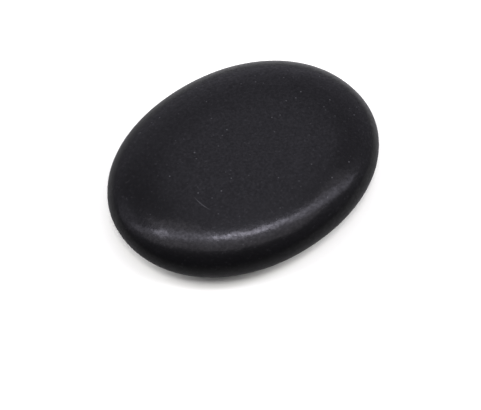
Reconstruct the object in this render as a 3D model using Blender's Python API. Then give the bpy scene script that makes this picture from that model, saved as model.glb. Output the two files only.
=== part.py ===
"""Lava stone: a smooth, flattened oval pebble of black basalt that rests on a small flat spot.

The stone is one solid, in metres, with +Z up. +X runs along its length and +Y across it.
The origin is on the flat spot, under the middle of the stone's outline.
"""

import math

import bmesh
import bpy

# Size of the stone
LENGTH = 0.040
WIDTH = 0.0311
THICKNESS = 0.0095

# Outline seen from above: an oval a little squarer than an ellipse, which has a power of 2
OUTLINE_POWER = 2.08

# Section seen from the side: a flattish crown and belly that meet in a round flank
FLANK_HEIGHT = 0.486 * THICKNESS
CROWN_FLATNESS = 3.32
CROWN_ROUNDNESS = 2.01
BELLY_FLATNESS = 3.32
BELLY_ROUNDNESS = 2.35

# The worn spot that the stone lies on, as a share of its outline
FLAT_SPOT_SHARE = 0.3

# Fineness of the mesh
SEGMENTS = 96
CROWN_RINGS = 14
BELLY_RINGS = 12

# Finish of polished basalt
BASALT_COLOUR = (0.017, 0.017, 0.019, 1.0)
BASALT_ROUGHNESS = 0.38


def clear_scene():
    for thing in list(bpy.data.objects):
        bpy.data.objects.remove(thing, do_unlink=True)


def outline_radius(angle):
    """Distance from the middle of the stone to its outline, in the direction of an angle."""
    along = abs(math.cos(angle) / (LENGTH / 2)) ** OUTLINE_POWER
    across = abs(math.sin(angle) / (WIDTH / 2)) ** OUTLINE_POWER
    return (along + across) ** (-1 / OUTLINE_POWER)


def outline_points():
    angles = [2 * math.pi * step / SEGMENTS for step in range(SEGMENTS)]
    return [(outline_radius(angle) * math.cos(angle), outline_radius(angle) * math.sin(angle)) for angle in angles]


def section_point(turn, flatness, roundness):
    """Share of the outline and share of the depth at a turn that runs from 0 at the pole to a right angle."""
    share = math.sin(turn) ** (2 / flatness)
    depth = math.cos(turn) ** (2 / roundness)
    return share, depth


def belly_section():
    """Rings from the flat spot up to the flank, as (share of the outline, height)."""
    start = math.asin(FLAT_SPOT_SHARE ** (BELLY_FLATNESS / 2))
    spot_depth = section_point(start, BELLY_FLATNESS, BELLY_ROUNDNESS)[1]
    rings = []
    for ring in range(BELLY_RINGS + 1):
        turn = start + (math.pi / 2 - start) * ring / BELLY_RINGS
        share, depth = section_point(turn, BELLY_FLATNESS, BELLY_ROUNDNESS)
        rings.append((share, FLANK_HEIGHT * (1 - depth / spot_depth)))
    return rings


def crown_section():
    """Rings from above the flank to just short of the top, as (share of the outline, height)."""
    rings = []
    for ring in range(1, CROWN_RINGS):
        turn = math.pi / 2 * (1 - ring / CROWN_RINGS)
        share, depth = section_point(turn, CROWN_FLATNESS, CROWN_ROUNDNESS)
        rings.append((share, FLANK_HEIGHT + (THICKNESS - FLANK_HEIGHT) * depth))
    return rings


def skin_between(mesh, lower, upper):
    """A band of faces between two rings, facing outwards."""
    for step in range(SEGMENTS):
        following = (step + 1) % SEGMENTS
        mesh.faces.new((lower[step], lower[following], upper[following], upper[step]))


def stone_mesh():
    mesh = bmesh.new()
    outline = outline_points()
    rings = []
    for share, height in belly_section() + crown_section():
        rings.append([mesh.verts.new((share * x, share * y, height)) for x, y in outline])
    for lower, upper in zip(rings, rings[1:]):
        skin_between(mesh, lower, upper)
    mesh.faces.new(list(reversed(rings[0])))
    top = mesh.verts.new((0.0, 0.0, THICKNESS))
    for step in range(SEGMENTS):
        mesh.faces.new((rings[-1][step], rings[-1][(step + 1) % SEGMENTS], top))
    data = bpy.data.meshes.new("stone")
    mesh.to_mesh(data)
    mesh.free()
    data.shade_smooth()
    return data


def black_basalt():
    material = bpy.data.materials.new("black basalt")
    material.use_nodes = True
    shader = material.node_tree.nodes["Principled BSDF"]
    shader.inputs["Base Color"].default_value = BASALT_COLOUR
    shader.inputs["Roughness"].default_value = BASALT_ROUGHNESS
    shader.inputs["Metallic"].default_value = 0.0
    return material


def make_stone():
    stone = bpy.data.objects.new("stone", stone_mesh())
    stone.data.materials.append(black_basalt())
    bpy.context.scene.collection.objects.link(stone)
    return stone


clear_scene()
make_stone()
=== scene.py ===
# %% [markdown]
# # Lava stone
# This lesson builds one polished lava stone: a black basalt pebble, 4 cm long, flattened by wear
# and smooth enough to catch the lights above it. The stone is one piece. What makes it look real
# is the way its round flank bends the reflections of the studio, so the lesson spends its care on
# the curve of the flank, on a finish that is satin and not glass, and on where the lights hang.

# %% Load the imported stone
import math

import bpy
from mathutils import Matrix, Vector


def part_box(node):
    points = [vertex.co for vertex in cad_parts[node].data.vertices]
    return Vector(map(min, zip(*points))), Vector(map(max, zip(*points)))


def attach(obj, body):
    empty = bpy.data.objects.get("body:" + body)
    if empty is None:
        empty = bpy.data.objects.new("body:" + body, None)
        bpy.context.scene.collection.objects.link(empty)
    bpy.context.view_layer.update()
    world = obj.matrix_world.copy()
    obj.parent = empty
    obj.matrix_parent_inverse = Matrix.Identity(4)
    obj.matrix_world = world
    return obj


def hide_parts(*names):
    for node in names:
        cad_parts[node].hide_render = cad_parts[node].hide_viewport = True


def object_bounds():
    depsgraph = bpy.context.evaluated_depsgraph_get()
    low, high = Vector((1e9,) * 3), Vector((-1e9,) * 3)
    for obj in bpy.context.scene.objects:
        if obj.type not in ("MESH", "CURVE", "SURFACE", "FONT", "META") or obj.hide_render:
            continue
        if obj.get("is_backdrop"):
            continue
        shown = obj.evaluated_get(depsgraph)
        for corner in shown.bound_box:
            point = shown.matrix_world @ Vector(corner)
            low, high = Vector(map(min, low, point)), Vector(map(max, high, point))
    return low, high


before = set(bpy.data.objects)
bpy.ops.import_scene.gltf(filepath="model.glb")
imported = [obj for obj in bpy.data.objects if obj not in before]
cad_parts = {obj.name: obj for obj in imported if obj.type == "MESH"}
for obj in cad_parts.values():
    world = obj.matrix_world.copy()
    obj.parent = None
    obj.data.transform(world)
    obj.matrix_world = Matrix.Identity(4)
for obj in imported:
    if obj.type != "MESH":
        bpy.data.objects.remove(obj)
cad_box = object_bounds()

# %% [markdown]
# ## Sizes
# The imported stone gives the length, width and thickness, so this file never repeats them. What
# is left to say is how the curve runs between them. A superellipse says it in two numbers for
# each section: flatness keeps the face broad before it turns down, and roundness decides how
# full the turn is. The crown and the belly have their own numbers, because a pebble wears
# differently on the side that it lies on. The flank share says how high up the two meet, and the
# flat spot share how far out towards the outline the flat spot reaches.

# %% Sizes and curves of the pebble
low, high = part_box("stone")
LENGTH, WIDTH, THICKNESS = high - low
OUTLINE_POWER = 2.08
FLANK_SHARE = 0.486
CROWN_FLATNESS = 3.32
CROWN_ROUNDNESS = 2.01
BELLY_FLATNESS = 3.32
BELLY_ROUNDNESS = 2.35
FLAT_SPOT_SHARE = 0.3
print(f"stone {LENGTH * 1000:.1f} x {WIDTH * 1000:.1f} x {THICKNESS * 1000:.1f} mm")

# %% [markdown]
# ## A tree of nodes for the pebble
# The pebble's shape follows a rule, so Geometry Nodes make it: a finely divided cube is blown up
# to a ball, and a formula moves every point of the ball to the pebble. A cube gives six patches
# of almost even squares, where a UV sphere would crowd its triangles at two poles, in the middle
# of the face that is looked at most. The helpers below keep the long formula readable: one adds
# a node, one connects it, two add a step of arithmetic, and one takes a vector apart.


# %% Helpers that add nodes
def add_node(tree, kind, **settings):
    """A new node of a kind, with its settings."""
    node = tree.nodes.new(kind)
    for name, value in settings.items():
        setattr(node, name, value)
    return node


def feed(tree, socket, value):
    """Connects a socket to another node's output, or sets it to a plain value."""
    if isinstance(value, bpy.types.NodeSocket):
        tree.links.new(value, socket)
    else:
        socket.default_value = value


def reckon(tree, operation, *values):
    """One step of arithmetic on numbers or outputs."""
    node = add_node(tree, "ShaderNodeMath", operation=operation)
    for socket, value in zip(node.inputs, values):
        feed(tree, socket, value)
    return node.outputs[0]


def reckon_vector(tree, operation, *values):
    """One step of arithmetic on vectors."""
    node = add_node(tree, "ShaderNodeVectorMath", operation=operation)
    for socket, value in zip(node.inputs, values):
        feed(tree, socket, value)
    gives_number = operation in ("DOT_PRODUCT", "DISTANCE")
    return node.outputs["Value" if gives_number else "Vector"]


def split(tree, vector):
    """The three parts of a vector."""
    node = add_node(tree, "ShaderNodeSeparateXYZ")
    feed(tree, node.inputs[0], vector)
    return node.outputs


print("helpers:", [helper.__name__ for helper in (add_node, feed, reckon, reckon_vector, split)])

# %% [markdown]
# The tree's inputs are the things that a maker would ask for: three sizes, the powers of the
# curves, how finely the ball is divided, and how uneven wear has left the surface. The
# unevenness is real relief, a few hundredths of a millimetre high. It is far too low to see as
# a shape, but a polished surface shows it at once, because the edge of each reflection wavers.

# %% Inputs of the pebble tree
PEBBLE_INPUTS = [
    ("Length", "NodeSocketFloat"),
    ("Width", "NodeSocketFloat"),
    ("Thickness", "NodeSocketFloat"),
    ("Outline Power", "NodeSocketFloat"),
    ("Flank Share", "NodeSocketFloat"),
    ("Crown Flatness", "NodeSocketFloat"),
    ("Crown Roundness", "NodeSocketFloat"),
    ("Belly Flatness", "NodeSocketFloat"),
    ("Belly Roundness", "NodeSocketFloat"),
    ("Flat Spot Share", "NodeSocketFloat"),
    ("Fineness", "NodeSocketInt"),
    ("Swell Height", "NodeSocketFloat"),
    ("Swell Size", "NodeSocketFloat"),
    ("Ripple Height", "NodeSocketFloat"),
    ("Ripple Size", "NodeSocketFloat"),
    ("Seed", "NodeSocketFloat"),
    ("Finish", "NodeSocketMaterial"),
]

pebble_tree = bpy.data.node_groups.new("pebble", "GeometryNodeTree")
pebble_sockets = {}
for name, kind in PEBBLE_INPUTS:
    pebble_sockets[name] = pebble_tree.interface.new_socket(name, in_out="INPUT", socket_type=kind)
pebble_tree.interface.new_socket("Geometry", in_out="OUTPUT", socket_type="NodeSocketGeometry")
asked = add_node(pebble_tree, "NodeGroupInput").outputs
print("pebble tree inputs:", len(pebble_sockets))

# %% [markdown]
# First the ball. A plain cube blown up to a ball would have small squares at the cube's corners
# and large ones in the middle of its sides. So each coordinate, which runs from -1 to 1, is read
# as an angle of up to half a right angle. Its tangent runs from -1 to 1 too, but in even steps of
# direction, and the squares end up nearly equal.

# %% From a divided cube to directions on a ball
CUBE_SIDE = 2.0
HALF_RIGHT_ANGLE = math.pi / 4
cube = add_node(pebble_tree, "GeometryNodeMeshCube")
cube.inputs["Size"].default_value = (CUBE_SIDE,) * 3
for name in ("Vertices X", "Vertices Y", "Vertices Z"):
    feed(pebble_tree, cube.inputs[name], asked["Fineness"])
place = add_node(pebble_tree, "GeometryNodeInputPosition").outputs[0]
as_angle = reckon_vector(pebble_tree, "MULTIPLY", place, (HALF_RIGHT_ANGLE,) * 3)
spread = reckon_vector(pebble_tree, "TANGENT", as_angle)
ball_x, ball_y, ball_z = split(pebble_tree, reckon_vector(pebble_tree, "NORMALIZE", spread))
print("ball nodes:", len(pebble_tree.nodes))

# %% [markdown]
# Then the outline. The share is how far out a point lies, 0 in the middle of the face and 1 on
# the outline, and the reach is how far away the outline is in that direction.


# %% The outline seen from above
def power_of(base, exponent):
    return reckon(pebble_tree, "POWER", base, exponent)


def outline_part(along, size):
    """One axis of the superellipse: how far along it, in halves of the size, to the power."""
    half = reckon(pebble_tree, "DIVIDE", size, 2.0)
    portion = reckon(pebble_tree, "ABSOLUTE", reckon(pebble_tree, "DIVIDE", along, half))
    return power_of(portion, asked["Outline Power"])


NEARLY_NOTHING = 1e-6
squares = reckon(pebble_tree, "ADD", power_of(ball_x, 2.0), power_of(ball_y, 2.0))
share = reckon(pebble_tree, "MINIMUM", reckon(pebble_tree, "SQRT", squares), 1.0)
lengthwise = outline_part(ball_x, asked["Length"])
crosswise = outline_part(ball_y, asked["Width"])
both = reckon(pebble_tree, "ADD", lengthwise, crosswise)
oval = power_of(both, reckon(pebble_tree, "DIVIDE", 1.0, asked["Outline Power"]))
reach = reckon(pebble_tree, "DIVIDE", share, reckon(pebble_tree, "MAXIMUM", oval, NEARLY_NOTHING))
pebble_x = reckon(pebble_tree, "MULTIPLY", ball_x, reach)
pebble_y = reckon(pebble_tree, "MULTIPLY", ball_y, reach)
print("ball and outline nodes:", len(pebble_tree.nodes))

# %% [markdown]
# Then the section. From the flank upwards the crown closes the stone, and from the flank down
# the belly does, until it would pass below the table. There it stops, and that is the flat spot.


# %% The section seen from the side
def fullness(flatness, roundness, at):
    """How much of its depth the section still has at a share of the outline."""
    left = reckon(pebble_tree, "SUBTRACT", 1.0, power_of(at, flatness))
    turn = reckon(pebble_tree, "DIVIDE", 1.0, roundness)
    return power_of(reckon(pebble_tree, "MAXIMUM", left, 0.0), turn)


flank = reckon(pebble_tree, "MULTIPLY", asked["Thickness"], asked["Flank Share"])
crown_depth = reckon(pebble_tree, "SUBTRACT", asked["Thickness"], flank)
crown = fullness(asked["Crown Flatness"], asked["Crown Roundness"], share)
crown_z = reckon(pebble_tree, "MULTIPLY_ADD", crown, crown_depth, flank)
belly = fullness(asked["Belly Flatness"], asked["Belly Roundness"], share)
spot = fullness(asked["Belly Flatness"], asked["Belly Roundness"], asked["Flat Spot Share"])
belly_drop = reckon(pebble_tree, "DIVIDE", belly, spot)
belly_left = reckon(pebble_tree, "MAXIMUM", reckon(pebble_tree, "SUBTRACT", 1.0, belly_drop), 0.0)
belly_z = reckon(pebble_tree, "MULTIPLY", belly_left, flank)
above = add_node(pebble_tree, "GeometryNodeSwitch", input_type="FLOAT")
feed(pebble_tree, above.inputs["Switch"], reckon(pebble_tree, "GREATER_THAN", ball_z, 0.0))
feed(pebble_tree, above.inputs["False"], belly_z)
feed(pebble_tree, above.inputs["True"], crown_z)

pebble_place = add_node(pebble_tree, "ShaderNodeCombineXYZ")
for socket, value in zip(pebble_place.inputs, (pebble_x, pebble_y, above.outputs[0])):
    feed(pebble_tree, socket, value)
shaped = add_node(pebble_tree, "GeometryNodeSetPosition")
feed(pebble_tree, shaped.inputs["Geometry"], cube.outputs["Mesh"])
feed(pebble_tree, shaped.inputs["Position"], pebble_place.outputs[0])
print("nodes up to the section:", len(pebble_tree.nodes))

# %% [markdown]
# Last the wear. A bump in the material could fake it, but the mesh itself would stay too perfect,
# so two noises push the surface in and out along its normal: a broad swell, and a finer ripple
# that carries some grain of its own. Both fade away near the table, so the flat spot stays flat
# and nothing sinks into the table.


# %% Unevenness left by wear
def unevenness(height, size, detail, harshness, seed_step):
    """A push of up to the height, inwards or outwards, in lumps of about the size."""
    noise = add_node(pebble_tree, "ShaderNodeTexNoise", noise_dimensions="4D")
    feed(pebble_tree, noise.inputs["Scale"], reckon(pebble_tree, "DIVIDE", 1.0, size))
    feed(pebble_tree, noise.inputs["W"], reckon(pebble_tree, "ADD", asked["Seed"], seed_step))
    noise.inputs["Detail"].default_value = detail
    noise.inputs["Roughness"].default_value = harshness
    centred = reckon(pebble_tree, "SUBTRACT", noise.outputs[0], 0.5)
    return reckon(pebble_tree, "MULTIPLY", centred, reckon(pebble_tree, "MULTIPLY", height, 2.0))


CALM_HEIGHT = 0.001
swell = unevenness(
    asked["Swell Height"], asked["Swell Size"], detail=1.0, harshness=0.5, seed_step=0.0
)
ripple = unevenness(
    asked["Ripple Height"], asked["Ripple Size"], detail=3.0, harshness=0.7, seed_step=10.0
)
place_now = add_node(pebble_tree, "GeometryNodeInputPosition").outputs[0]
height_now = split(pebble_tree, place_now)[2]
calm = reckon(pebble_tree, "MINIMUM", reckon(pebble_tree, "DIVIDE", height_now, CALM_HEIGHT), 1.0)
push = reckon(pebble_tree, "MULTIPLY", reckon(pebble_tree, "ADD", swell, ripple), calm)
normal = add_node(pebble_tree, "GeometryNodeInputNormal").outputs[0]
along_normal = add_node(pebble_tree, "ShaderNodeVectorMath", operation="SCALE")
feed(pebble_tree, along_normal.inputs[0], normal)
feed(pebble_tree, along_normal.inputs["Scale"], push)
worn = add_node(pebble_tree, "GeometryNodeSetPosition")
feed(pebble_tree, worn.inputs["Geometry"], shaped.outputs[0])
feed(pebble_tree, worn.inputs["Offset"], along_normal.outputs[0])
print("nodes up to the wear:", len(pebble_tree.nodes))

# %% [markdown]
# The tree ends by smoothing the shading, realizing its geometry and giving it the finish, so
# that what leaves it is one plain mesh. Nothing here is an instance, but a tree that ends this
# way stays right when somebody adds one.

# %% The end of the tree
smooth = add_node(pebble_tree, "GeometryNodeSetShadeSmooth")
feed(pebble_tree, smooth.inputs["Geometry"], worn.outputs[0])
realized = add_node(pebble_tree, "GeometryNodeRealizeInstances")
feed(pebble_tree, realized.inputs["Geometry"], smooth.outputs[0])
finished = add_node(pebble_tree, "GeometryNodeSetMaterial")
feed(pebble_tree, finished.inputs["Geometry"], realized.outputs[0])
feed(pebble_tree, finished.inputs["Material"], asked["Finish"])
leaving = add_node(pebble_tree, "NodeGroupOutput")
feed(pebble_tree, leaving.inputs["Geometry"], finished.outputs[0])
print("pebble tree nodes:", len(pebble_tree.nodes))

# %% [markdown]
# ## The finish: satin basalt
# Basalt is a very fine-grained black rock. Rubbed smooth and oiled by hands, it mirrors like
# dull glass. Two layers of gloss copy that: the rock itself is rough and spreads the light
# widely, and over it lies the polish, a thin coat that still shows a soft image of the lights.
# The rock's refraction is set lower than real basalt's, which keeps its wide gloss weak.
# Every pattern reads Object coordinates, which are the stone's own metres, so a grain of the
# rock has its real size and stays where it is when the stone moves.

# %% Basalt and its polish
ROCK_REFRACTION = 1.33
POLISH_REFRACTION = 1.5
POLISH_ROUGHNESS = 0.155
basalt = bpy.data.materials.new("satin basalt")
basalt.use_nodes = True
rock = basalt.node_tree
polish = rock.nodes["Principled BSDF"]
polish.inputs["Metallic"].default_value = 0.0
polish.inputs["IOR"].default_value = ROCK_REFRACTION
polish.inputs["Coat IOR"].default_value = POLISH_REFRACTION
polish.inputs["Coat Roughness"].default_value = POLISH_ROUGHNESS
on_stone = add_node(rock, "ShaderNodeTexCoord").outputs["Object"]
print("basalt starts with", len(rock.nodes), "nodes")

# %% [markdown]
# Four small helpers draw everything on the rock. One makes a cloudy noise with lumps of a given
# size, one turns a range of values into another range, one joins masks, and one lays a colour
# over another.


# %% Helpers for the rock's patterns
def cloud(tree, size, detail, harshness=0.5):
    """A noise from 0 to 1, with lumps of about the given size in metres."""
    noise = add_node(tree, "ShaderNodeTexNoise")
    feed(tree, noise.inputs["Vector"], on_stone)
    noise.inputs["Scale"].default_value = 1 / size
    noise.inputs["Detail"].default_value = detail
    noise.inputs["Roughness"].default_value = harshness
    return noise.outputs["Fac"]


def ramp(tree, value, start, end, low=0.0, high=1.0, kind="SMOOTHSTEP"):
    """Gives low where the value is at start, high where it is at end, and a blend between."""
    node = add_node(tree, "ShaderNodeMapRange", interpolation_type=kind)
    feed(tree, node.inputs["Value"], value)
    for name, given in (("From Min", start), ("From Max", end), ("To Min", low), ("To Max", high)):
        feed(tree, node.inputs[name], given)
    return node.outputs[0]


def all_of(tree, *masks):
    """Shows only where every mask shows."""
    together = masks[0]
    for mask in masks[1:]:
        together = reckon(tree, "MULTIPLY", together, mask)
    return together


def lay_over(tree, amount, under, over):
    """Lays one colour over another, by an amount from 0 to 1."""
    node = add_node(tree, "ShaderNodeMix", data_type="RGBA")
    feed(tree, node.inputs["Factor"], amount)
    colours = [socket for socket in node.inputs if socket.type == "RGBA"]
    feed(tree, colours[0], under)
    feed(tree, colours[1], over)
    return next(socket for socket in node.outputs if socket.type == "RGBA")


print("helpers:", [helper.__name__ for helper in (cloud, ramp, all_of, lay_over)])

# %% [markdown]
# The rock's own colour is nearly black, since almost all the light that comes back from it is
# gloss. Close up it isn't even: paler crystals, a few tenths of a millimetre across, are
# scattered through it. Only the tops of the noise are kept, so most of the rock stays black.

# %% Black rock with paler crystals
CRYSTAL_SIZE = 0.0004
CRYSTALS_START, CRYSTALS_FULL = 0.56, 0.80
BLACK_ROCK = (0.0045, 0.0044, 0.0047, 1.0)
PALER_CRYSTAL = (0.024, 0.023, 0.024, 1.0)
crystals = ramp(rock, cloud(rock, CRYSTAL_SIZE, detail=2.0), CRYSTALS_START, CRYSTALS_FULL)
rock_colour = lay_over(rock, crystals, BLACK_ROCK, PALER_CRYSTAL)
print(f"crystals of about {CRYSTAL_SIZE * 1000:.1f} mm")

# %% [markdown]
# A few pale mineral flecks catch the eye on the flat faces. They are too small to model, so they
# are only colour. A Voronoi texture scatters one point in each cell, and a fleck shows where such
# a point comes close to the surface, which happens in a few cells only. The texture also gives
# each cell a colour of its own at random. Its red decides how pale the fleck is, so some are
# faint and some are bright. The flecks are kept off the flank: they fade in only some way
# above and below half the thickness.

# %% Mineral flecks
FLECK_SPACING = 0.0012
FLECK_RADIUS = 0.00014
FLECK_COLOUR = (0.150, 0.150, 0.150, 1.0)
FLANK_HALF = 0.0022
FACE_STARTS = 0.0034
FAINT_UNTIL = 0.2
FAINTEST, PALEST = 0.20, 0.85
scatter = add_node(rock, "ShaderNodeTexVoronoi")
feed(rock, scatter.inputs["Vector"], on_stone)
scatter.inputs["Scale"].default_value = 1 / FLECK_SPACING
near_fleck = reckon(rock, "MULTIPLY", scatter.outputs["Distance"], FLECK_SPACING)
flecks = ramp(rock, near_fleck, FLECK_RADIUS, FLECK_RADIUS / 2, kind="LINEAR")
stone_x, stone_y, stone_z = split(rock, on_stone)
from_middle = reckon(rock, "ABSOLUTE", reckon(rock, "SUBTRACT", stone_z, THICKNESS / 2))
on_face = ramp(rock, from_middle, FLANK_HALF, FACE_STARTS)
cell_red = split(rock, scatter.outputs["Color"])[0]
paleness = ramp(rock, cell_red, FAINT_UNTIL, 1.0, FAINTEST, PALEST)
flecked = lay_over(rock, all_of(rock, flecks, on_face, paleness), rock_colour, FLECK_COLOUR)
print(f"flecks up to {FLECK_RADIUS * 2000:.2f} mm, in cells of {FLECK_SPACING * 1000:.1f} mm")

# %% [markdown]
# One hairline scratch lies on the crown. Bruised basalt is grey, so a scratch in it is paler
# than the rock. An image could hold it, but a formula needs none and stays sharp close up. The
# scratch is part of a circle: a point belongs to it when its distance from the circle's middle is
# nearly the radius. Only a short stretch of the circle's left side counts, and only on the crown.
# The line fades out across its width and towards both of its ends.

# %% A hairline scratch
SCRATCH_MIDDLE = (-0.00398, -0.0030)
SCRATCH_RADIUS = 0.0067
SCRATCH_WIDTH = 0.00013
SCRATCH_HALFWAY = -0.0038
SCRATCH_REACH = 0.00175
SOLID_SHARE, GONE_SHARE = 0.2, 0.8
BRUISED_ROCK = (0.085, 0.085, 0.085, 1.0)
CROWN_ONLY = (0.005, 0.006)
from_x = reckon(rock, "SUBTRACT", stone_x, SCRATCH_MIDDLE[0])
from_y = reckon(rock, "SUBTRACT", stone_y, SCRATCH_MIDDLE[1])
square_x = reckon(rock, "POWER", from_x, 2.0)
square_y = reckon(rock, "POWER", from_y, 2.0)
from_centre = reckon(rock, "SQRT", reckon(rock, "ADD", square_x, square_y))
off_line = reckon(rock, "ABSOLUTE", reckon(rock, "SUBTRACT", from_centre, SCRATCH_RADIUS))
along_line = reckon(rock, "ABSOLUTE", reckon(rock, "SUBTRACT", stone_y, SCRATCH_HALFWAY))
scratch = all_of(
    rock,
    ramp(rock, off_line, GONE_SHARE * SCRATCH_WIDTH, SOLID_SHARE * SCRATCH_WIDTH),
    ramp(rock, along_line, SCRATCH_REACH, SOLID_SHARE * SCRATCH_REACH),
    reckon(rock, "LESS_THAN", stone_x, SCRATCH_MIDDLE[0]),
    ramp(rock, stone_z, *CROWN_ONLY),
)
scratched = lay_over(rock, scratch, flecked, BRUISED_ROCK)
feed(rock, polish.inputs["Base Color"], scratched)
print(f"scratch {SCRATCH_REACH * 2000:.1f} mm long")

# %% [markdown]
# The gloss is what hands have made of the grain. Hard grains take a better polish than soft
# ones, so one noise steers three things at once: where a grain stands proud, the coat over it is
# thicker, the rock under it is a little smoother, and a bump lifts it by a hundredth or two of a
# millimetre. Because they go together, a reflected lamp breaks up into bright grains, while an
# evenly lit face stays calm. A second, broader noise thickens and thins the coat a little in
# patches of a millimetre or two, because no hand rubs every spot alike.

# %% Satin gloss and grain
GRAIN_SIZE = 0.00038
GRAIN_HEIGHT = 0.000016
PATCH_SIZE = 0.0016
THIN_COAT, THICK_COAT = 0.44, 0.87
THIN_AT, THICK_AT = 0.38, 0.66
PATCH_CHANGE = 0.05
PATCH_LOW, PATCH_HIGH = 0.35, 0.65
ROUGH_GRAIN, SMOOTH_GRAIN = 0.38, 0.34
ROUGH_AT, SMOOTH_AT = 0.36, 0.64
grain = cloud(rock, GRAIN_SIZE, detail=2.0, harshness=0.6)
gloss = ramp(rock, grain, THIN_AT, THICK_AT, THIN_COAT, THICK_COAT, kind="LINEAR")
patches = cloud(rock, PATCH_SIZE, detail=2.0)
patchy = ramp(rock, patches, PATCH_LOW, PATCH_HIGH, -PATCH_CHANGE, PATCH_CHANGE, kind="LINEAR")
feed(rock, polish.inputs["Coat Weight"], reckon(rock, "ADD", gloss, patchy))
satin = ramp(rock, grain, ROUGH_AT, SMOOTH_AT, ROUGH_GRAIN, SMOOTH_GRAIN, kind="LINEAR")
feed(rock, polish.inputs["Roughness"], satin)
relief = add_node(rock, "ShaderNodeBump")
feed(rock, relief.inputs["Height"], grain)
relief.inputs["Distance"].default_value = GRAIN_HEIGHT
feed(rock, polish.inputs["Normal"], relief.outputs[0])
print("basalt ends with", len(rock.nodes), "nodes")

# %% [markdown]
# ## Making the stone
# The tree is now put to work. A modifier carries it, and each input is set by its socket's
# identifier, because names may repeat but identifiers never do. A hundred and twenty-eight
# points along each edge of the cube put the points on the faces about a quarter of a millimetre
# apart, fine enough for the ripples that bend the reflections.

# %% Fill in the tree's inputs
stone = bpy.data.objects.new("lava_stone", bpy.data.meshes.new("lava_stone"))
bpy.context.scene.collection.objects.link(stone)
maker = stone.modifiers.new("pebble", "NODES")
maker.node_group = pebble_tree
PEBBLE_VALUES = {
    "Length": LENGTH,
    "Width": WIDTH,
    "Thickness": THICKNESS,
    "Outline Power": OUTLINE_POWER,
    "Flank Share": FLANK_SHARE,
    "Crown Flatness": CROWN_FLATNESS,
    "Crown Roundness": CROWN_ROUNDNESS,
    "Belly Flatness": BELLY_FLATNESS,
    "Belly Roundness": BELLY_ROUNDNESS,
    "Flat Spot Share": FLAT_SPOT_SHARE,
    "Fineness": 128,
    "Swell Height": 0.00003,
    "Swell Size": 0.009,
    "Ripple Height": 0.000025,
    "Ripple Size": 0.0025,
    "Seed": 4.0,
    "Finish": basalt,
}
for name, value in PEBBLE_VALUES.items():
    maker[pebble_sockets[name].identifier] = value
print("inputs set:", len(PEBBLE_VALUES))

# %% [markdown]
# The result becomes a plain mesh, and the modifier goes. The cube that the tree starts from
# leaves an empty material slot behind, so the slots are set afresh with the basalt alone.

# %% Turn it into a plain mesh
depsgraph = bpy.context.evaluated_depsgraph_get()
pebble_mesh = bpy.data.meshes.new_from_object(stone.evaluated_get(depsgraph))
stone.modifiers.remove(maker)
stone.data = pebble_mesh
pebble_mesh.name = "lava_stone"
pebble_mesh.materials.clear()
pebble_mesh.materials.append(basalt)
pebble_mesh.polygons.foreach_set("material_index", [0] * len(pebble_mesh.polygons))
triangles = sum(len(face.vertices) - 2 for face in pebble_mesh.polygons)
print("stone triangles:", triangles, "points:", len(pebble_mesh.vertices))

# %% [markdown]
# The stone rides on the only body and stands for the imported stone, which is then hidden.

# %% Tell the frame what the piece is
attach(stone, "root")
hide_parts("stone")
print("stone box (mm):", [round(1000 * side, 2) for side in stone.dimensions])

# %% [markdown]
# ## Camera
# The camera looks down at a little more than half a right angle, from the side of the stone's
# front left corner. A long lens from 30 cm away keeps the oval free of distortion. The aim is
# given across and up the picture, which is how one would nudge a real camera on its stand.

# %% Camera
VIEW_AZIMUTH = math.radians(-40.333)
VIEW_ELEVATION = math.radians(54.0)
CAMERA_DISTANCE = 0.3
LENS = 165.2
SENSOR_WIDTH = 36.0
NEAREST_SEEN, FURTHEST_SEEN = 0.01, 20.0
AIM_RIGHT = -0.000508
AIM_UP = -0.005620
AIM_HEIGHT = 0.005

picture_right = Vector((math.cos(VIEW_AZIMUTH), math.sin(VIEW_AZIMUTH), 0.0))
away_from_camera = Vector((-math.sin(VIEW_AZIMUTH), math.cos(VIEW_AZIMUTH), 0.0))
straight_up = Vector((0.0, 0.0, 1.0))
to_camera = math.sin(VIEW_ELEVATION) * straight_up - math.cos(VIEW_ELEVATION) * away_from_camera
picture_up = to_camera.cross(picture_right)
aim = AIM_HEIGHT * straight_up + AIM_RIGHT * picture_right + AIM_UP * picture_up

camera_data = bpy.data.cameras.new("camera")
camera_data.lens = LENS
camera_data.sensor_width = SENSOR_WIDTH
camera_data.clip_start = NEAREST_SEEN
camera_data.clip_end = FURTHEST_SEEN
camera = bpy.data.objects.new("camera", camera_data)
camera.location = aim + CAMERA_DISTANCE * to_camera
camera.rotation_euler = to_camera.to_track_quat("Z", "Y").to_euler()
bpy.context.scene.collection.objects.link(camera)
bpy.context.scene.camera = camera
print("camera at (mm):", [round(1000 * part) for part in camera.location])

# %% [markdown]
# ## Floor
# The stone lies on white paper that is lit until it burns out to pure white. One flat sheet, far
# wider than the picture, is enough for it.

# %% Paper floor
FLOOR_HALF = 3.0
FLOOR_CORNERS = ((-1, -1), (1, -1), (1, 1), (-1, 1))
floor_mesh = bpy.data.meshes.new("floor")
corners = [(across * FLOOR_HALF, along * FLOOR_HALF, 0.0) for across, along in FLOOR_CORNERS]
floor_mesh.from_pydata(corners, [], [(0, 1, 2, 3)])
floor = bpy.data.objects.new("floor", floor_mesh)
bpy.context.scene.collection.objects.link(floor)
print(f"paper {2 * FLOOR_HALF:.0f} m wide")
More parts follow.
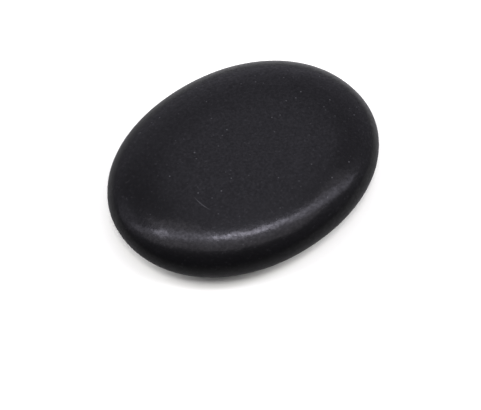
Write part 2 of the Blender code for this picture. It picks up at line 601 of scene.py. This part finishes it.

# %% [markdown]
# What the stone's polish mirrors is much darker than the burnt-out paper, so the paper is white
# only to the camera, with a trace of warmth that keeps the stone's shadow from turning blue. To
# the stone it is grey, with painted shade and painted light: darker on the camera's side, paler
# from the stone backwards, and palest in one painted pool of window light behind the stone.

# %% White to the camera, grey to the stone
PAPER_WHITE = (0.92, 0.92, 0.88, 1.0)
# Greys of the painted shade and painted window light that the stone mirrors in the paper
DIM_PAPER, LIT_PAPER, WINDOW_PAPER = 0.060, 0.175, 0.300
DIM_UNTIL, LIT_FROM = -0.050, 0.005
WINDOW_SPOT = 0.014 * picture_right + 0.045 * away_from_camera
SPOT_FULL, SPOT_NONE = 0.016, 0.048

paper = bpy.data.materials.new("white paper")
paper.use_nodes = True
sheet = paper.node_tree
sheet.nodes.clear()
on_paper = add_node(sheet, "ShaderNodeTexCoord").outputs["Object"]
from_spot = reckon_vector(sheet, "DISTANCE", on_paper, WINDOW_SPOT)
seen = add_node(sheet, "ShaderNodeBsdfDiffuse")
seen.inputs["Color"].default_value = PAPER_WHITE
mirrored = add_node(sheet, "ShaderNodeBsdfDiffuse")
how_far_back = reckon_vector(sheet, "DOT_PRODUCT", on_paper, away_from_camera)
# Painted shade and light: the paper is darker towards the camera, with a painted pool of window
# light behind
shaded = ramp(sheet, how_far_back, DIM_UNTIL, LIT_FROM, DIM_PAPER, LIT_PAPER)
grey = ramp(sheet, from_spot, SPOT_FULL, SPOT_NONE, WINDOW_PAPER, shaded)
feed(sheet, mirrored.inputs["Color"], grey)


def show_to_camera(tree, to_stone, to_eye, output_kind):
    """One shader for camera rays and another for every other ray."""
    choice = add_node(tree, "ShaderNodeMixShader")
    feed(tree, choice.inputs[0], add_node(tree, "ShaderNodeLightPath").outputs["Is Camera Ray"])
    feed(tree, choice.inputs[1], to_stone)
    feed(tree, choice.inputs[2], to_eye)
    feed(tree, add_node(tree, output_kind).inputs["Surface"], choice.outputs[0])


show_to_camera(sheet, mirrored.outputs[0], seen.outputs[0], "ShaderNodeOutputMaterial")
floor_mesh.materials.append(paper)
floor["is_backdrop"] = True
print("paper nodes:", len(sheet.nodes))

# %% [markdown]
# ## Lights
# A polished dark stone is mostly a picture of its lights, so each lamp is placed by where the
# stone sees it. Two angles from straight up say where: one to the picture's right, one away
# from the camera. The radiance is how bright the lamp looks, whatever its size.


# %% Hanging a lamp where the stone sees it
CEILING = 2.0
DAYLIGHT = (1.02, 0.99, 1.16)
WARMER_LIGHT = (1.02, 0.965, 1.05)
studio = Matrix.Rotation(VIEW_AZIMUTH, 4, "Z")


def on_ceiling(side, away):
    """The spot in the ceiling that the stone sees at two angles from straight up."""
    return Vector((math.tan(math.radians(side)), math.tan(math.radians(away)), 1.0)) * CEILING


def hang(name, middle, turn, length, breadth, radiance, colour):
    """A rectangular lamp that shines straight down and doesn't show to the camera."""
    data = bpy.data.lights.new(name, "AREA")
    data.shape = "RECTANGLE"
    data.size = length
    data.size_y = breadth
    data.energy = radiance * math.pi * length * breadth
    data.color = colour
    light = bpy.data.objects.new(name, data)
    light.matrix_world = studio @ Matrix.Translation(middle) @ Matrix.Rotation(turn, 4, "Z")
    light.visible_camera = False
    bpy.context.scene.collection.objects.link(light)


print("the ceiling straight above the stone (m):", list(on_ceiling(0, 0)))

# %% [markdown]
# The bright streak along the near flank is a row of strip lights, hung a little towards the
# camera. It isn't even: it starts softly at the left, has one hot spot, dims, then runs at full
# strength for about half its length, and at the right it bends away, widens and fades. Ten lamps
# in a row, end to end, follow that.

# %% The row of strip lights
# Start and end (angles to the right and away), breadth as an angle, radiance
STRIP_LIGHTS = [
    ((-62, -10), (-38, -9), 10.0, 1.0),
    ((-38, -9), (-26, -5.5), 8.0, 4.7),
    ((-26, -6.5), (-2.5, -7.5), 11.0, 1.8),
    ((-2.5, -8.8), (6, -8.2), 5.0, 10.9),
    ((6, -8.2), (13.5, -8.0), 5.5, 7.8),
    ((13.5, -8.0), (21, -7.3), 6.0, 8.9),
    ((21, -6.8), (28, -6.5), 8.0, 4.8),
    ((28, -6.0), (36, -3), 11.0, 2.5),
    ((36, -3.5), (47, 4.5), 17.0, 1.8),
    ((47, 4.5), (63, 15), 18.0, 1.3),
]
for number, (start, end, breadth, radiance) in enumerate(STRIP_LIGHTS, 1):
    first = on_ceiling(*start)
    last = on_ceiling(*end)
    run = last - first
    turn = math.atan2(run.y, run.x)
    wide = CEILING * math.radians(breadth)
    hang(f"strip_light_{number}", (first + last) / 2, turn, run.length, wide, radiance, DAYLIGHT)
print("strip lights:", len(STRIP_LIGHTS))

# %% [markdown]
# Below the streak lies a paler band: two broad, weak ceiling panels between the strip lights and
# the camera. They stop at a sharp edge, and under it the flank turns dark, because there it looks
# at the dim camera side of the studio. A third, weaker panel carries on past the row's right end.
# The last two hang on the row's far side, at its left and at its right, where the streak fades
# softly into the crown.

# %% Ceiling panels
# From and to, to the right; from and to, away from the camera; radiance
CEILING_PANELS = [
    ((-56, -12), (-29.5, -10), 0.62),
    ((-12, 50), (-34, -10), 0.57),
    ((50, 70), (0, 32), 0.14),
    ((-34, -9), (-5, 8), 0.60),
    ((31, 60), (-2, 21), 0.42),
]
for number, (sides, aways, radiance) in enumerate(CEILING_PANELS, 1):
    near = on_ceiling(sides[0], aways[0])
    far = on_ceiling(sides[1], aways[1])
    size = far - near
    hang(f"ceiling_panel_{number}", (near + far) / 2, 0.0, size.x, size.y, radiance, WARMER_LIGHT)
print("ceiling panels:", len(CEILING_PANELS))

# %% [markdown]
# The paper has washes of its own, so that it burns out while the stone keeps its deep black.
# Each is a round patch of sky, and the wider it is, the softer the shadow's edge. The two strong
# ones come in from the left and the right, so the shadow is faint at the stone's sides and deep
# at its foot. Two weaker ones come from the camera's side and reach in under the near flank,
# which keeps the shadow there narrow. The weakest comes from behind, and draws the shadow's edge
# out softly to the front. Light linking keeps them all off the stone.

# %% Wash on the paper
# Name, strength, spread, bearing from the camera's side to the right, and lean from straight up
WASHES = [
    ("paper_wash_left", 1.76, 40.0, -90.0, 45.0),
    ("paper_wash_right", 1.83, 40.0, 90.0, 45.0),
    ("paper_wash_front", 0.84, 12.0, 0.0, 21.5),
    ("paper_wash_low", 0.17, 40.0, 0.0, 40.0),
    ("paper_wash_behind", 0.12, 40.0, 180.0, 25.0),
]
only_paper = bpy.data.collections.new("washed by light")
only_paper.objects.link(floor)
for name, strength, spread, bearing, lean in WASHES:
    data = bpy.data.lights.new(name, "SUN")
    data.energy = strength
    data.angle = math.radians(spread)
    wash = bpy.data.objects.new(name, data)
    leaning = Matrix.Rotation(math.radians(lean), 4, "X")
    wash.matrix_world = studio @ Matrix.Rotation(math.radians(bearing), 4, "Z") @ leaning
    wash.visible_glossy = False
    wash.light_linking.receiver_collection = only_paper
    bpy.context.scene.collection.objects.link(wash)

# %% [markdown]
# ## Walls
# Everything else that the stone mirrors is the room: dim on the camera's side, brightest a little
# to the right of straight behind the stone, a little brighter at the foot of the walls than at
# their head, and darker again along the skirting. Where a ray goes is a direction of length 1, so
# its upward part says how high up a wall it ends, from 0 on the horizon to 1 overhead. How far it
# points to the lit side runs from -1 to 1 in the same way.

# %% Walls and skirting
DIM_WALL, LIT_WALL = 0.070, 0.255
DIM_UP_TO, LIT_AT = -0.8, 1.0
FOOT_SHARE, HEAD_SHARE = 1.10, 0.93
FOOT_HEIGHT, HEAD_HEIGHT = 0.25, 0.75
SKIRTING_SHARE, SKIRTING_TOP = 0.62, 0.17
WALL_TURN = math.radians(-9)

world = bpy.data.worlds.new("studio")
bpy.context.scene.world = world
world.use_nodes = True
room = world.node_tree
room.nodes.clear()
looking = add_node(room, "ShaderNodeTexCoord").outputs["Generated"]
lit_side = Matrix.Rotation(WALL_TURN, 3, "Z") @ away_from_camera
facing = reckon_vector(room, "DOT_PRODUCT", looking, lit_side)
walls = ramp(room, facing, DIM_UP_TO, LIT_AT, DIM_WALL, LIT_WALL, kind="LINEAR")
looking_up = split(room, looking)[2]
skirting = ramp(room, looking_up, 0.0, SKIRTING_TOP, SKIRTING_SHARE, 1.0)
upward = ramp(room, looking_up, FOOT_HEIGHT, HEAD_HEIGHT, FOOT_SHARE, HEAD_SHARE)
room_glow = all_of(room, walls, skirting, upward)
print("wall nodes:", len(room.nodes))

# %% [markdown]
# Four soft glows stand for windows. One is high up and shows as the gentle brightening in the
# middle of the crown. One is low, far and to the left, and lights the rim there. One lies on the
# horizon behind the stone, and pales the far rim. The last is at the left, where the streak
# begins.


# %% Windows
def window_glow(turn, lift, full, none, strength):
    """A round glow at a turn to the right of straight away and a lift above the horizon."""
    turn, lift, full, none = (math.radians(angle) for angle in (turn, lift, full, none))
    level = Vector((math.sin(turn), math.cos(turn), 0.0)) * math.cos(lift)
    direction = level + math.sin(lift) * straight_up
    towards = reckon_vector(room, "DOT_PRODUCT", looking, studio.to_3x3() @ direction)
    return ramp(room, towards, math.cos(none), math.cos(full), high=strength)


# Turn to the right, lift above the horizon, full within and gone beyond (angles), and strength
WINDOWS = [
    (10, 63.5, 8, 28, 0.285),
    (-22, 28, 6, 30, 0.07),
    (3, 2, 5, 24, 0.10),
    (-86, 27, 5, 22, 0.30),
]
for window in WINDOWS:
    room_glow = reckon(room, "ADD", room_glow, window_glow(*window))
print("windows:", len(WINDOWS))

# %% [markdown]
# The camera sees none of the room: beyond the paper it sees plain white.

# %% The room for the stone, white for the camera
PLAIN_WHITE = (1.0, 1.0, 1.0, 1.0)
room_light = add_node(room, "ShaderNodeBackground")
room_light.inputs["Color"].default_value = (*DAYLIGHT, 1.0)
feed(room, room_light.inputs["Strength"], room_glow)
backdrop = add_node(room, "ShaderNodeBackground")
backdrop.inputs["Color"].default_value = PLAIN_WHITE
show_to_camera(room, room_light.outputs[0], backdrop.outputs[0], "ShaderNodeOutputWorld")
print("room nodes:", len(room.nodes))

# %% [markdown]
# The Standard view transform shows each brightness as it is. The default one would bend the
# burnt-out paper down to grey.

# %% How brightness becomes picture
bpy.context.scene.view_settings.view_transform = "Standard"
print("view transform:", bpy.context.scene.view_settings.view_transform)

# %% [markdown]
# ## The two boxes
# The stone's box is printed beside the imported one, so that the two can be compared.

# %% Sizes of both boxes
visual_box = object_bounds()
boxes = {"cad": cad_box, "visual": visual_box}
for name, box in boxes.items():
    print(name, "box (mm):", [[round(1000 * part, 2) for part in corner] for corner in box])
